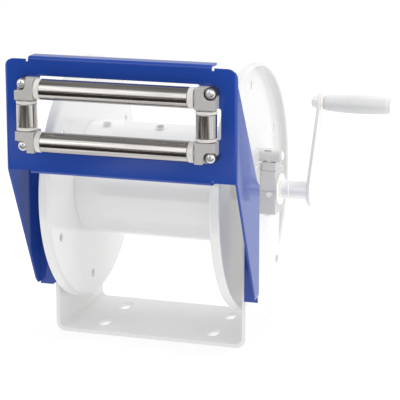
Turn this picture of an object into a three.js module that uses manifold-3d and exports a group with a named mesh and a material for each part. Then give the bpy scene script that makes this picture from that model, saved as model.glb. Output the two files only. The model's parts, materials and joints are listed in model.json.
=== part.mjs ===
// Hand-crank reel with a four-roller guide bracket, in millimetres.
// +X runs along the shaft towards the crank, +Y to the back, +Z up; the origin is
// the middle of the base's underside.
import * as THREE from "three";
import { mergeVertices } from "three/addons/utils/BufferGeometryUtils.js";
import Module from "manifold-3d";

const wasm = await Module();
wasm.setup();

// ---- Driving dimensions -------------------------------------------------

const gap = 0.3; // clearance between pieces that touch, seat or turn
const through = 2; // how far a cutter runs past the face it cuts
const weld = 1; // how far two bodies that make one piece run into each other
const round = { large: 40, medium: 24, small: 20, tiny: 12, hex: 6 }; // sides of turned bodies
const curveSteps = 5; // flats in each arc of an extruded outline

// Shaft and discs
const axleRadius = 9.5;
const axleBore = axleRadius + gap;
const discRadius = 154;
const discFloor = 25.7; // base plate to the discs
const discSheet = 2;
const rimClear = 5.7; // a rim's outer edge to the upright
const rimDepth = 13; // how far the rim stands out from the disc's web
const rimBend = 4.5;
const beadRadius = 2.2;
const discHoleRadius = 5.5;
const discHoleInset = 28; // hole centres in from the disc's edge
const discHoleCount = 6;
const discHoleTurn = 25;

// Frame: one bent plate, a base with two uprights
const plate = 4.8;
const frameWidth = 248;
const frameDepth = 150;
const frameBend = 12;
const shaftHeight = plate + discFloor + discRadius;
const shaftBack = 4;
const crestRise = 33.5; // top of an upright above the shaft
const crestCorner = 12;
const slotWidth = 12.5;
const slotLength = 30;
const slotInsetX = 52; // slot centres in from the frame's sides
const slotInsetY = 38;
const spareHoleHeight = 78;
const spareHoleInset = 10;
const spareHoleRadius = 5.2;

// Drum and bearings
const drumRadius = 71.7;
const drumWall = 2;
const drumScrewX = [-76, -5.5];
const drumScrewTilt = 14; // degrees forward of the top of the drum
const drumScrewHead = 5;
const drumScrewHeadThick = 3.2;
const drumScrewLength = 9;
const bushWall = 3.5;
const bushFlange = 4;
const bushFlangeThick = 2.8;
const collarRadius = axleBore + 4.8;
const collarLength = 8;
const sleeveWall = 2.2; // spacer sleeve between the brake and the crank's hub
const sleeveLength = 12.4;
const thrustRadius = axleBore + 9.7;
const thrustThick = 2.2;
const axleOverhang = 15; // left end of the shaft past the upright

// Crank
const hubRadius = axleBore + 1.8;
const hubLength = 22.5;
const crankRadius = 111;
const armFootRadius = hubRadius + 7; // the arm's round foot, about the shaft
const armHeadRadius = 11.8; // the arm's round head, about the grip
const armThick = 4;
const armLean = 10; // how far the arm's top stands out from its foot
const armFootRise = 10; // the straight foot above the shaft
const armHeadDrop = 6; // the straight head below the grip
const gripBoltRadius = 4.8;
const gripLength = 80.5;
const gripEnd = 9.2;
const gripMiddle = 11.4;
const gripTail = 9.9;
const gripLip = 1.2;
const gripShoulder = 0.8; // share of the radius left at the grip's flat ends
const gripHeadRadius = gripBoltRadius + 2.7;
const gripHeadThick = 4.2;
const washerRadius = gripBoltRadius + 4.8;
const washerThick = 2.6;
const gripNutRadius = gripBoltRadius + 3.2;
const gripNutThick = 7;

// Brake: two blocks round the shaft, squeezed by a cam lever on an eyebolt
const brakeWidth = 19;
const brakeHeight = 54.4;
const brakeDrop = 1.7; // the blocks' middle below the shaft
const brakeBoltRadius = 2.5;
const brakeBoltClear = 4.5; // bolt axes outside the shaft's bore
const brakeBoltInset = 4.4; // bolt axes in from the blocks' front and back
const boltHeadThick = 3.4;
const boltTail = 0.6; // thread showing past a nut
const smallNutRadius = brakeBoltRadius + 2.1;
const smallNutThick = 2.6;
const padHeight = 10.5;
const padDepth = 24;
const padInset = 1.5;
const lockDrop = 3.6; // lock screw below the shaft
const lockShift = 1.5; // lock screw off the bolts' axes, towards the crank
const lockRadius = 1.6;
const lockHeadRadius = 3.2;
const lockHeadThick = 2;
const anchorInset = 6;
const anchorDepth = 9; // how far an anchor screw reaches into the lower block
const camWidth = 30;
const camPinRadius = 3;
const camPinHead = camPinRadius + 2.2;
const camPinHeadThick = 2.2;
const camPinTail = 3.2;
const eyeRadius = camPinRadius + 3;
const eyeWidth = 7.4;
const camRadius = eyeRadius + 2.4;
const leverReach = 58;
const leverThick = 7;
const leverHeight = 12.4;
const leverOffset = 2.5; // how far the handle bar stands out from the cam

// Guide rollers
const rollerRadius = 12.3;
const rollerWall = 1.5;
const rollerSpacing = 62.2; // between the axes of the long rollers
const rollerForward = 10.8; // roller axes in front of the plate
const longCap = 7.8; // visible length of an end cap
const shortCap = 4.8;
const capPlug = 6;
const capChamfer = 1.6;
const pinRadius = 3;
const pinGrip = 8; // how deep a roller pin sits in a corner block
const blockHeight = 2 * rollerRadius + 0.4;
const blockWidth = 2 * rollerRadius - 1.1;
const blockDepth = 20;
const blockFlange = 11;
const blockCorner = 7.5;
const screwInset = 6.8;
const screwRadius = 2.7;
const screwHeadRadius = screwRadius + 3.3;
const screwHeadThick = 4;
const screwLength = 18;
const screwSeatMargin = 1.2;
const crossHalf = 0.6;
const crossDepth = 1.8;

// Guide bracket: one bent sheet
const sheet = 3;
const guideSide = 18.3; // a side panel's outer face past the upright's
const guideWidth = frameWidth + 2 * guideSide;
const guideClear = 24.4; // the plate's front face before the discs
const guideFront = discRadius - shaftBack + guideClear; // from the base's middle
const guideBend = 4.5;
const guideRise = 24.9; // the top flange above the discs
const guideTop = shaftHeight + discRadius + guideRise;
const guideTall = 139.6;
const guideBottom = guideTop - guideTall;
const guideEar = 3.5; // how far the plate's edge stands back outside the flanges
const guideCorner = 12;
const flangeInset = 30.3; // a flange's end in from the side panel
const flangeHalf = guideWidth / 2 - flangeInset;
const flangeRelief = 3;
const flangeReach = 21;
const rollerMiddle = guideTop - guideTall / 2 + 2.6;
const shortInset = 32.6; // a short roller's axis in from the side panel
const shortSpacing = guideWidth - 2 * shortInset;
const windowEdge = 1.3; // how far the window clears the rollers
const windowCorner = 3;
const legBottom = 62;
const legTop = guideBottom - 16;
const legInset = 4.6; // back of the legs before the base plate's edge
const legRear = frameDepth / 2 + legInset;
const legToe = legRear + 12.2; // foot of the sloping front edge
const legStep = 10.5;
const legStepRise = 6.5;
const legFlat = 2;
const panelTop = guideTop - 22.4;
const tabReach = 34;
const tabBoltHeights = [legBottom + 16, legTop - 49.8];
const tabBoltRadius = 4;
const tabHeadRadius = tabBoltRadius + 3.2;
const tabHeadThick = 5;

// ---- Colours ------------------------------------------------------------

const paint = (color, roughness, metalness) => ({ color, roughness, metalness });
const palePaint = paint(0xe6e7e8, 0.3, 0);
const bluePaint = paint(0x1c4aa6, 0.3, 0);
const zinc = paint(0xc9ccd0, 0.35, 0.9);
const stainless = paint(0xb9babb, 0.22, 1);
const nylonGrey = paint(0xcfcecb, 0.5, 0);
const nylonWhite = paint(0xeeebe6, 0.45, 0);
const frictionGrey = paint(0x8b8c88, 0.7, 0);
const gripPlastic = paint(0xc9cacb, 0.5, 0);
const bronze = paint(0xb79a63, 0.4, 0.8);

// ---- Solids -------------------------------------------------------------

function solid(geometry) {
  const bare = geometry.clone();
  bare.deleteAttribute("normal");
  bare.deleteAttribute("uv");
  const merged = mergeVertices(bare, 1e-4);
  return new wasm.Manifold(
    new wasm.Mesh({
      numProp: 3,
      vertProperties: merged.attributes.position.array,
      triVerts: new Uint32Array(merged.index.array),
    }),
  );
}

function geometryOf(body) {
  const made = body.getMesh();
  const geometry = new THREE.BufferGeometry();
  geometry.setAttribute("position", new THREE.BufferAttribute(made.vertProperties, 3));
  geometry.setIndex(new THREE.BufferAttribute(made.triVerts, 1));
  geometry.computeVertexNormals();
  return geometry;
}

function joined(first, ...others) {
  return others.reduce((body, other) => body.add(other), first);
}

function cut(first, ...others) {
  return others.reduce((body, other) => body.subtract(other), first);
}

function outline(points) {
  return new THREE.Shape(points.map(([u, v]) => new THREE.Vector2(u, v)));
}

function extruded(shape, length) {
  const options = { depth: length, bevelEnabled: false, curveSegments: curveSteps };
  return new THREE.ExtrudeGeometry(shape, options);
}

// Extrusions of an outline along one axis, from a start over a length.
function alongX(shape, start, length) {
  const body = extruded(shape, length);
  body.applyMatrix4(new THREE.Matrix4().set(0, 0, 1, start, 1, 0, 0, 0, 0, 1, 0, 0, 0, 0, 0, 1));
  return solid(body);
}

function alongY(shape, start, length) {
  const body = extruded(shape, length);
  body.rotateX(Math.PI / 2);
  body.translate(0, start + length, 0);
  return solid(body);
}

function alongZ(shape, start, length) {
  const body = extruded(shape, length);
  body.translate(0, 0, start);
  return solid(body);
}

function box(x0, x1, y0, y1, z0, z1) {
  const body = new THREE.BoxGeometry(x1 - x0, y1 - y0, z1 - z0);
  body.translate((x0 + x1) / 2, (y0 + y1) / 2, (z0 + z1) / 2);
  return solid(body);
}

// Turned bodies: the profile is a closed loop of [radius, position along the axis].
function turned(profile, sides, axis) {
  const loop = [...profile, profile[0]];
  const area = loop
    .slice(1)
    .reduce((sum, [r, a], i) => sum + loop[i][0] * a - r * loop[i][1], 0);
  const ordered = area > 0 ? loop : loop.reverse();
  const body = new THREE.LatheGeometry(
    ordered.map(([r, a]) => new THREE.Vector2(r, a)),
    sides,
  );
  if (axis === "x") body.rotateZ(-Math.PI / 2);
  if (axis === "z") body.rotateX(Math.PI / 2);
  return body;
}

function rod(radius, start, length, sides, axis) {
  const body = new THREE.CylinderGeometry(radius, radius, length, sides);
  body.translate(0, start + length / 2, 0);
  if (axis === "x") body.rotateZ(-Math.PI / 2);
  if (axis === "z") body.rotateX(Math.PI / 2);
  return body;
}

function sleeve(inner, outer, start, end, sides, axis) {
  return turned([[inner, start], [outer, start], [outer, end], [inner, end]], sides, axis);
}

function placed(geometry, x, y, z) {
  return solid(geometry.clone().translate(x, y, z));
}

function stadium(width, length) {
  const r = width / 2;
  const half = length / 2 - r;
  const shape = new THREE.Shape();
  shape.absarc(0, half, r, 0, Math.PI, false);
  shape.absarc(0, -half, r, Math.PI, 2 * Math.PI, false);
  shape.closePath();
  return shape;
}

function roundedBar(x0, x1, y0, y1, radius) {
  const shape = new THREE.Shape();
  shape.absarc(x1 - radius, y1 - radius, radius, 0, Math.PI / 2, false);
  shape.absarc(x0 + radius, y1 - radius, radius, Math.PI / 2, Math.PI, false);
  shape.absarc(x0 + radius, y0 + radius, radius, Math.PI, 1.5 * Math.PI, false);
  shape.absarc(x1 - radius, y0 + radius, radius, 1.5 * Math.PI, 2 * Math.PI, false);
  shape.closePath();
  return shape;
}

// ---- Scene graph --------------------------------------------------------

const reel = new THREE.Group();

function part(name, body, look, parent = reel) {
  const geometry = body.isBufferGeometry ? body : geometryOf(body);
  const mesh = new THREE.Mesh(geometry, new THREE.MeshStandardMaterial(look));
  mesh.name = name;
  parent.add(mesh);
  return mesh;
}

function groupAt(x, y, z, parent = reel) {
  const group = new THREE.Group();
  group.position.set(x, y, z);
  parent.add(group);
  return group;
}

const sideOf = { left: -1, right: 1 };
const frameHalf = frameWidth / 2;
const bushRadius = axleBore + bushWall;
const tabBoltY = -(frameDepth / 2 - spareHoleInset);

// ---- Frame --------------------------------------------------------------

function makeFrame() {
  const crest = shaftHeight + crestRise;
  const inner = frameBend - plate;
  const u = new THREE.Shape();
  u.moveTo(frameHalf, crest);
  u.lineTo(frameHalf - plate, crest);
  u.lineTo(frameHalf - plate, frameBend);
  u.absarc(frameHalf - frameBend, frameBend, inner, 0, -Math.PI / 2, true);
  u.absarc(-frameHalf + frameBend, frameBend, inner, -Math.PI / 2, -Math.PI, true);
  u.lineTo(-frameHalf + plate, crest);
  u.lineTo(-frameHalf, crest);
  u.absarc(-frameHalf + frameBend, frameBend, frameBend, Math.PI, 1.5 * Math.PI, false);
  u.absarc(frameHalf - frameBend, frameBend, frameBend, 1.5 * Math.PI, 2 * Math.PI, false);
  u.closePath();
  const bent = alongY(u, -frameDepth / 2, frameDepth);

  const half = frameDepth / 2;
  const below = crestCorner + through;
  const side = roundedBar(-half, half, -below, crest, crestCorner);
  const trimmed = bent.intersect(alongX(side, -frameWidth, 2 * frameWidth));

  const cutters = [];
  const slot = alongZ(stadium(slotWidth, slotLength), -through, plate + 2 * through);
  const slotX = frameHalf - slotInsetX;
  const slotY = half - slotInsetY;
  for (const x of [-slotX, slotX])
    for (const y of [-slotY, slotY]) cutters.push(slot.translate([x, y, 0]));
  const across = [-frameWidth, 2 * frameWidth];
  const bushSeat = rod(bushRadius + gap, ...across, round.medium, "x");
  cutters.push(placed(bushSeat, 0, shaftBack, shaftHeight));
  const spare = rod(spareHoleRadius, ...across, round.tiny, "x");
  cutters.push(placed(spare, 0, half - spareHoleInset, spareHoleHeight));
  const boltHoles = rod(tabBoltRadius + gap, ...across, round.tiny, "x");
  for (const z of tabBoltHeights) cutters.push(placed(boltHoles, 0, tabBoltY, z));
  const start = frameHalf - plate - through;
  const anchor = rod(brakeBoltRadius + gap, start, plate + 2 * through, round.tiny, "x");
  for (const y of anchorY) cutters.push(placed(anchor, 0, shaftBack + y, shaftHeight + anchorZ));
  part("frame", cut(trimmed, ...cutters), palePaint);
}

// ---- Drum ---------------------------------------------------------------

const rimHalf = frameHalf - plate - rimClear;
const webInner = rimHalf - rimDepth;
const discHoleCircle = discRadius - discHoleInset;

function makeDisc(name, side) {
  const web = side * webInner;
  const out = (depth) => web + side * depth;
  const profile = [
    [axleBore, out(0)],
    [discRadius - rimBend, out(0)],
  ];
  const steps = 2;
  for (let i = 1; i <= steps; i++) {
    const a = (i / steps) * (Math.PI / 2);
    const r = discRadius - rimBend + rimBend * Math.sin(a);
    profile.push([r, out(rimBend - rimBend * Math.cos(a))]);
  }
  const beadSteps = 4;
  const beadR = discRadius - beadRadius;
  const beadAt = rimDepth - beadRadius;
  for (let i = 0; i <= beadSteps; i++) {
    const a = (i / beadSteps) * 1.5 * Math.PI;
    profile.push([beadR + beadRadius * Math.cos(a), out(beadAt + beadRadius * Math.sin(a))]);
  }
  profile.push([discRadius - discSheet, out(beadAt - 1.5 * beadRadius)]);
  const innerBend = rimBend - discSheet;
  for (let i = 0; i <= steps; i++) {
    const a = (1 - i / steps) * (Math.PI / 2);
    const r = discRadius - rimBend + innerBend * Math.sin(a);
    profile.push([r, out(rimBend - innerBend * Math.cos(a))]);
  }
  profile.push([axleBore, out(discSheet)]);

  const holes = [];
  const hole = rod(discHoleRadius, -rimHalf, 2 * rimHalf, round.tiny, "x");
  for (let i = 0; i < discHoleCount; i++) {
    const a = THREE.MathUtils.degToRad(discHoleTurn + (360 / discHoleCount) * i);
    holes.push(placed(hole, 0, discHoleCircle * Math.cos(a), discHoleCircle * Math.sin(a)));
  }
  const body = cut(solid(turned(profile, round.large, "x")), ...holes);
  part(name, body, palePaint, drum);
}

// Leans a body that stands on the drum's top forward by the screws' angle.
function leant(body) {
  return body.rotate([drumScrewTilt, 0, 0]);
}

function makeDrumBarrel() {
  const end = webInner - gap;
  const barrel = sleeve(drumRadius - drumWall, drumRadius, -end, end, round.large, "x");
  const hole = rod(screwRadius + gap, 0, drumRadius + through, round.tiny, "z");
  const holes = drumScrewX.map((x) => leant(placed(hole, x, 0, 0)));
  part("drum_barrel", cut(solid(barrel), ...holes), palePaint, drum);
}

function makeDrumScrew(index) {
  const seat = drumRadius + gap;
  const head = rod(drumScrewHead, seat, drumScrewHeadThick, round.hex, "z");
  const shank = rod(screwRadius, seat - drumScrewLength, drumScrewLength + weld, round.tiny, "z");
  const screw = joined(solid(head), solid(shank)).translate([drumScrewX[index], 0, 0]);
  part(`drum_screw_${index + 1}`, leant(screw), zinc, drum);
}

function makeAxle() {
  const left = -frameHalf - axleOverhang;
  const right = hubStart + hubLength - gap;
  part("axle", rod(axleRadius, left, right - left, round.medium, "x"), zinc, drum);
}

// Plain flanged bush, pushed into an upright from the drum side.
function makeBush(name, side) {
  const face = frameHalf - plate - gap;
  const profile = [
    [axleBore, face - bushFlangeThick],
    [bushRadius + bushFlange, face - bushFlangeThick],
    [bushRadius + bushFlange, face],
    [bushRadius, face],
    [bushRadius, frameHalf],
    [axleBore, frameHalf],
  ].map(([r, x]) => [r, side * x]);
  part(name, turned(profile, round.medium, "x"), bronze, bearings);
}

const brakeStart = frameHalf + gap;
const brakeEnd = brakeStart + brakeWidth;
const thrustStart = brakeEnd + gap;
const collarStart = thrustStart + thrustThick + gap;
const hubStart = collarStart + sleeveLength + gap;

function makeCollars() {
  const end = collarStart + sleeveLength;
  const edge = axleBore + sleeveWall;
  const spacer = [
    [axleBore, collarStart],
    [axleBore + 0.5 * sleeveWall, collarStart],
    [edge, collarStart + sleeveWall],
    [edge, end - 0.5 * sleeveWall],
    [axleBore + 0.5 * sleeveWall, end],
    [axleBore, end],
  ];
  part("shaft_collar_crank_side", turned(spacer, round.medium, "x"), zinc, drum);
  const start = frameHalf + 2 * gap;
  const plain = sleeve(axleBore, collarRadius, -start - collarLength, -start, round.medium, "x");
  part("shaft_collar_far_side", plain, zinc, drum);
}

function makeThrustWasher() {
  const end = thrustStart + thrustThick;
  const washer = sleeve(axleBore, thrustRadius, thrustStart, end, round.medium, "x");
  part("brake_thrust_washer", washer, zinc, drum);
}

// ---- Crank --------------------------------------------------------------

const armStart = hubStart + hubLength + gap;
const armHead = armStart + armLean;

function makeCrankHub() {
  const end = hubStart + hubLength;
  const hub = solid(sleeve(axleBore, hubRadius, hubStart, end, round.medium, "x"));
  const middle = hubStart + hubLength / 2;
  const hole = rod(screwRadius + gap, 0, hubRadius + through, round.tiny, "y");
  part("crank_hub", cut(hub, placed(hole, middle, 0, 0)), zinc, drum);
  const screw = rod(screwRadius, axleBore, hubRadius - axleRadius, round.tiny, "y");
  part("hub_set_screw", screw.translate(middle, 0, 0), zinc, drum);
}

// Outline of a bar that tapers from a round foot at 0 to a round head at a height.
function taperOutline(foot, head, height) {
  const steps = 10;
  const lean = Math.asin((foot - head) / height);
  const points = [];
  for (let i = 0; i <= steps; i++) {
    const a = lean + ((Math.PI - 2 * lean) * i) / steps;
    points.push([head * Math.cos(a), height + head * Math.sin(a)]);
  }
  for (let i = 0; i <= steps; i++) {
    const a = Math.PI - lean + ((Math.PI + 2 * lean) * i) / steps;
    points.push([foot * Math.cos(a), foot * Math.sin(a)]);
  }
  return outline(points);
}

// A flat bar with round ends, tapered and stepped outwards from foot to head.
function makeCrankArm() {
  const foot = -armFootRadius;
  const head = crankRadius + armHeadRadius;
  const bends = [armFootRise, crankRadius - armHeadDrop];
  const inner = [
    [armStart, foot - through],
    [armStart, bends[0]],
    [armHead, bends[1]],
    [armHead, head + through],
  ];
  const outer = inner.map(([x, z]) => [x + armThick, z]).reverse();
  const bar = alongY(outline([...inner, ...outer]), foot - through, 2 * (through - foot));
  const face = taperOutline(armFootRadius, armHeadRadius, crankRadius);
  const silhouette = alongX(face, armStart - through, armLean + armThick + 2 * through);
  const shaped = bar.intersect(silhouette);
  const hole = rod(gripBoltRadius + gap, armHead - through, armThick + 2 * through, round.small, "x");
  part("crank_arm", cut(shaped, placed(hole, 0, 0, crankRadius)), palePaint, drum);
}

const washerStart = armHead + armThick + gap;
const gripStart = washerStart + washerThick + gap;
const gripHeadStart = gripStart + gripLength + gap;
const nutStart = armHead - gap - gripNutThick;

function makeGripBolt() {
  const start = nutStart - weld;
  const length = gripHeadStart + gripHeadThick - start;
  const shank = rod(gripBoltRadius, start, length, round.small, "x");
  const dome = [
    [0, gripHeadStart],
    [gripHeadRadius, gripHeadStart],
    [gripHeadRadius, gripHeadStart + 0.5 * gripHeadThick],
    [0.6 * gripHeadRadius, gripHeadStart + gripHeadThick],
    [0, gripHeadStart + gripHeadThick],
  ];
  const head = turned(dome, round.small, "x");
  part("grip_bolt", joined(solid(shank), solid(head)), zinc, handle);
}

function makeGripFasteners() {
  const bore = gripBoltRadius + gap;
  const washerEnd = washerStart + washerThick;
  const washer = sleeve(bore, washerRadius, washerStart, washerEnd, round.small, "x");
  part("grip_washer", washer, zinc, handle);
  const nut = rod(gripNutRadius, nutStart, gripNutThick, round.hex, "x");
  const hole = rod(bore, nutStart - through, gripNutThick + 2 * through, round.small, "x");
  part("grip_nut", cut(solid(nut), solid(hole)), zinc, handle);
}

// A barrel-shaped grip, thickest past its middle.
function makeGrip() {
  const bore = gripBoltRadius + gap;
  const end = gripStart + gripLength;
  const profile = [
    [bore, gripStart],
    [gripShoulder * gripEnd, gripStart],
  ];
  const steps = 7;
  const swell = gripMiddle - (gripEnd + gripTail) / 2;
  for (let i = 0; i <= steps; i++) {
    const t = i / steps;
    const straight = gripEnd + (gripTail - gripEnd) * t;
    const x = gripStart + gripLip + (gripLength - 2 * gripLip) * t;
    profile.push([straight + swell * Math.sin(Math.PI * t), x]);
  }
  profile.push([gripShoulder * gripTail, end], [bore, end]);
  part("grip", turned(profile, round.medium, "x"), gripPlastic, handle);
}

// ---- Brake --------------------------------------------------------------

// Heights and depths below are measured from the shaft.
const brakeMid = brakeStart + brakeWidth / 2;
const brakeHalf = brakeHeight / 2;
const boltFront = -(axleBore + brakeBoltClear);
const brakeFront = boltFront - brakeBoltInset;
const boltRear = -boltFront;
const brakeTop = brakeHalf - brakeDrop;
const brakeBottom = -brakeHalf - brakeDrop;
const padBottom = brakeTop + gap;
const padTop = padBottom + padHeight;
const camHeight = padTop + gap + camRadius;
const camStart = brakeMid - camWidth / 2;
const nutTop = brakeBottom - gap;
const nutBottom = nutTop - smallNutThick;
const tailEnd = nutBottom - boltTail;
const anchorY = [boltFront + anchorInset, boltRear - anchorInset];
const anchorZ = brakeBottom + anchorInset;

function boltHole(y, z0, z1) {
  const hole = rod(brakeBoltRadius + gap, z0 - through, z1 - z0 + 2 * through, round.tiny, "z");
  return placed(hole, brakeMid, y, 0);
}

// Half of the friction block: a bar with half the shaft's bore in it.
function makeBrakeBlock(name, z0, z1, cutters) {
  const blank = box(brakeStart, brakeEnd, brakeFront, -brakeFront, z0, z1);
  const length = brakeWidth + 2 * through;
  const bore = solid(rod(axleBore, brakeStart - through, length, round.medium, "x"));
  const holes = [boltHole(boltFront, z0, z1), boltHole(boltRear, z0, z1)];
  part(name, cut(blank, bore, ...holes, ...cutters), frictionGrey, brake);
}

function makeBrakeBlocks() {
  const deep = anchorDepth + 2 * through;
  const anchor = rod(brakeBoltRadius + gap, brakeStart - through, deep, round.tiny, "x");
  const anchors = anchorY.map((y) => placed(anchor, 0, y, anchorZ));
  const lock = rod(lockRadius + gap, brakeFront - through, brakeBoltInset + through, round.tiny, "y");
  anchors.push(placed(lock, brakeMid + lockShift, 0, -lockDrop));
  makeBrakeBlock("brake_block_lower", brakeBottom, -gap / 2, anchors);
  makeBrakeBlock("brake_block_upper", gap / 2, brakeTop, []);
}

// Small screw in the front of the lower block, bearing on the eyebolt's stem.
function makeLockScrew() {
  const back = brakeFront + brakeBoltInset - brakeBoltRadius - gap;
  const front = brakeFront - gap;
  const head = rod(lockHeadRadius, front - lockHeadThick, lockHeadThick, round.tiny, "y");
  const shank = rod(lockRadius, front - weld, back - front + weld, round.tiny, "y");
  const at = [brakeMid + lockShift, 0, -lockDrop];
  const screw = joined(solid(head), solid(shank)).translate(at);
  part("brake_lock_screw", screw, zinc, brake);
}

function makePad() {
  const start = brakeStart + padInset;
  const blank = box(start, brakeEnd, brakeFront, brakeFront + padDepth, padBottom, padTop);
  const body = cut(blank, boltHole(boltFront, padBottom, padTop));
  part("brake_pressure_pad", body, frictionGrey, brake);
}

function makeEyebolt() {
  const top = camHeight - eyeRadius + weld;
  const rodUp = rod(brakeBoltRadius, tailEnd, top - tailEnd, round.tiny, "z");
  const stem = placed(rodUp, brakeMid, boltFront, 0);
  const eye = rod(eyeRadius, brakeMid - eyeWidth / 2, eyeWidth, round.medium, "x");
  const hole = rod(camPinRadius + gap, brakeMid - eyeWidth, 2 * eyeWidth, round.small, "x");
  const ring = [eye, hole].map((body) => placed(body, 0, boltFront, camHeight));
  part("brake_eyebolt", cut(joined(stem, ring[0]), ring[1]), zinc, brake);
}

function makeSmallNut(name, y) {
  const nut = placed(rod(smallNutRadius, nutBottom, smallNutThick, round.hex, "z"), brakeMid, y, 0);
  part(name, cut(nut, boltHole(y, nutBottom, nutTop)), zinc, brake);
}

function makeRearBolt() {
  const length = padBottom + weld - tailEnd;
  const stem = rod(brakeBoltRadius, tailEnd, length, round.tiny, "z");
  const head = rod(smallNutRadius, padBottom, boltHeadThick, round.hex, "z");
  const bolt = joined(solid(stem), solid(head)).translate([brakeMid, boltRear, 0]);
  part("brake_rear_bolt", bolt, zinc, brake);
}

// Forked cam on the eyebolt's pin, with a flat bar handle reaching forward. Its
// own origin is the pin's axis.
function makeCamLever() {
  const cam = solid(rod(camRadius, camStart, camWidth, round.medium, "x"));
  const half = leverHeight / 2;
  const bar = roundedBar(-leverReach, 0.75 * camRadius, -half, half, 0.9 * half);
  const handleBar = alongX(bar, camStart - leverOffset, leverThick);
  const fork = eyeWidth / 2 + gap;
  const clear = 2 * camRadius;
  const slot = box(brakeMid - fork, brakeMid + fork, -clear, clear, -clear, clear);
  const wall = eyeRadius + 2 * gap;
  const sides = [brakeMid - fork - weld, brakeMid + fork + weld];
  const roof = box(...sides, -camRadius, camRadius, wall, camRadius);
  const front = box(...sides, -camRadius, -wall, -camRadius, camRadius);
  const webs = joined(roof, front).intersect(cam);
  const forked = joined(cut(joined(cam, handleBar), slot), webs);
  const start = camStart - leverOffset - through;
  const length = camWidth + leverOffset + 2 * through;
  const hole = solid(rod(camPinRadius + gap, start, length, round.small, "x"));
  part("brake_cam_lever", cut(forked, hole), frictionGrey, camPivot);
}

function makeCamPin() {
  const start = camStart - camPinTail;
  const end = camStart + camWidth + gap;
  const stem = rod(camPinRadius, start, end + weld - start, round.small, "x");
  const head = rod(camPinHead, end, camPinHeadThick, round.small, "x");
  part("brake_cam_pin", joined(solid(stem), solid(head)), zinc, camPivot);
}

// Headless screw through the upright into the lower block.
function makeAnchorScrew(index) {
  const start = frameHalf - plate;
  const screw = rod(brakeBoltRadius, start, plate + anchorDepth, round.tiny, "x");
  screw.translate(0, anchorY[index], anchorZ);
  part(`brake_anchor_screw_${index + 1}`, screw, zinc, brake);
}

// ---- Guide bracket ------------------------------------------------------

const guideHalf = guideWidth / 2;
const tabInner = frameHalf + gap;

// Plan of the bent sheet: the front plate and both side panels.
function wrapOutline() {
  const inner = guideBend - sheet;
  const back = legRear;
  const centre = [guideHalf - guideBend, -guideFront + guideBend];
  const shape = new THREE.Shape();
  shape.moveTo(guideHalf, -back);
  shape.lineTo(guideHalf - sheet, -back);
  shape.absarc(centre[0], centre[1], inner, 0, -Math.PI / 2, true);
  shape.absarc(-centre[0], centre[1], inner, -Math.PI / 2, -Math.PI, true);
  shape.lineTo(-guideHalf + sheet, -back);
  shape.lineTo(-guideHalf, -back);
  shape.absarc(-centre[0], centre[1], guideBend, Math.PI, 1.5 * Math.PI, false);
  shape.absarc(centre[0], centre[1], guideBend, 1.5 * Math.PI, 2 * Math.PI, false);
  shape.closePath();
  return shape;
}

// Side view of the sheet: a deep front edge, a sloping back and two upright legs.
function legOutline() {
  return outline([
    [-guideFront - through, guideBottom + guideEar],
    [-guideFront + sheet, guideBottom + guideEar],
    [-legToe, legBottom],
    [-legRear + through, legBottom],
    [-legRear + through, legTop],
    [-legRear - legFlat, legTop],
    [-legRear - legStep, legTop + legStepRise],
    [-guideFront + guideBend, panelTop],
    [-guideFront + guideBend, guideTop + through],
    [-guideFront - through, guideTop + through],
  ]);
}

// Front view of the plate above the legs, with round upper and lower corners.
function faceOutline() {
  return roundedBar(-guideHalf, guideHalf, legBottom, guideTop - guideEar, guideCorner);
}

// Plus-shaped window: the opening between the blocks, open to both roller pairs.
function windowSolids() {
  const y0 = -guideFront - through;
  const depth = sheet + 2 * through;
  const longHalf = blockInnerX + gap;
  const tall = rollerSpacing / 2 + rollerRadius + windowEdge;
  const wide = shortSpacing / 2 + rollerRadius + windowEdge;
  const low = blockInnerZ - gap;
  const hole = (halfX, halfZ) => {
    const z = [rollerMiddle - halfZ, rollerMiddle + halfZ];
    return alongY(roundedBar(-halfX, halfX, ...z, windowCorner), y0, depth);
  };
  return [hole(longHalf, tall), hole(wide, low)];
}

// Top or bottom flange: a lip bent back from the plate's edge.
function flange(edge, side) {
  const inner = guideBend - sheet;
  const shape = new THREE.Shape();
  const y = -guideFront + guideBend;
  const z = edge - side * guideBend;
  const turn = side * Math.PI / 2;
  shape.moveTo(-guideFront, z - side * guideBend);
  shape.absarc(y, z, guideBend, Math.PI, Math.PI - turn, side > 0);
  shape.lineTo(-guideFront + flangeReach, edge);
  shape.lineTo(-guideFront + flangeReach, edge - side * sheet);
  shape.absarc(y, z, inner, Math.PI - turn, Math.PI, side < 0);
  shape.lineTo(-guideFront + sheet, z - side * guideBend);
  shape.closePath();
  return alongX(shape, -flangeHalf, 2 * flangeHalf);
}

// Inward flange at the back of a leg and the tab that lies on the upright.
function footing(side) {
  const tabOuter = tabInner + sheet;
  const points = [
    [guideHalf - weld, -legRear - sheet],
    [guideHalf - weld, -legRear],
    [tabOuter, -legRear],
    [tabOuter, -legRear + tabReach],
    [tabInner, -legRear + tabReach],
    [tabInner, -legRear - sheet],
  ].map(([x, y]) => [side * x, y]);
  return alongZ(outline(side > 0 ? points : points.reverse()), legBottom, legTop - legBottom);
}

// Small notches that free each flange's ends from the plate's corners.
function reliefs() {
  const y0 = -guideFront - through;
  const y1 = -guideFront + sheet + through;
  const tall = guideEar + flangeRelief;
  const made = [];
  for (const x of [-flangeHalf - flangeRelief, flangeHalf]) {
    const across = [x, x + flangeRelief, y0, y1];
    made.push(box(...across, guideTop - tall, guideTop + through));
    made.push(box(...across, guideBottom - through, guideBottom + tall));
  }
  return made;
}

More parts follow.
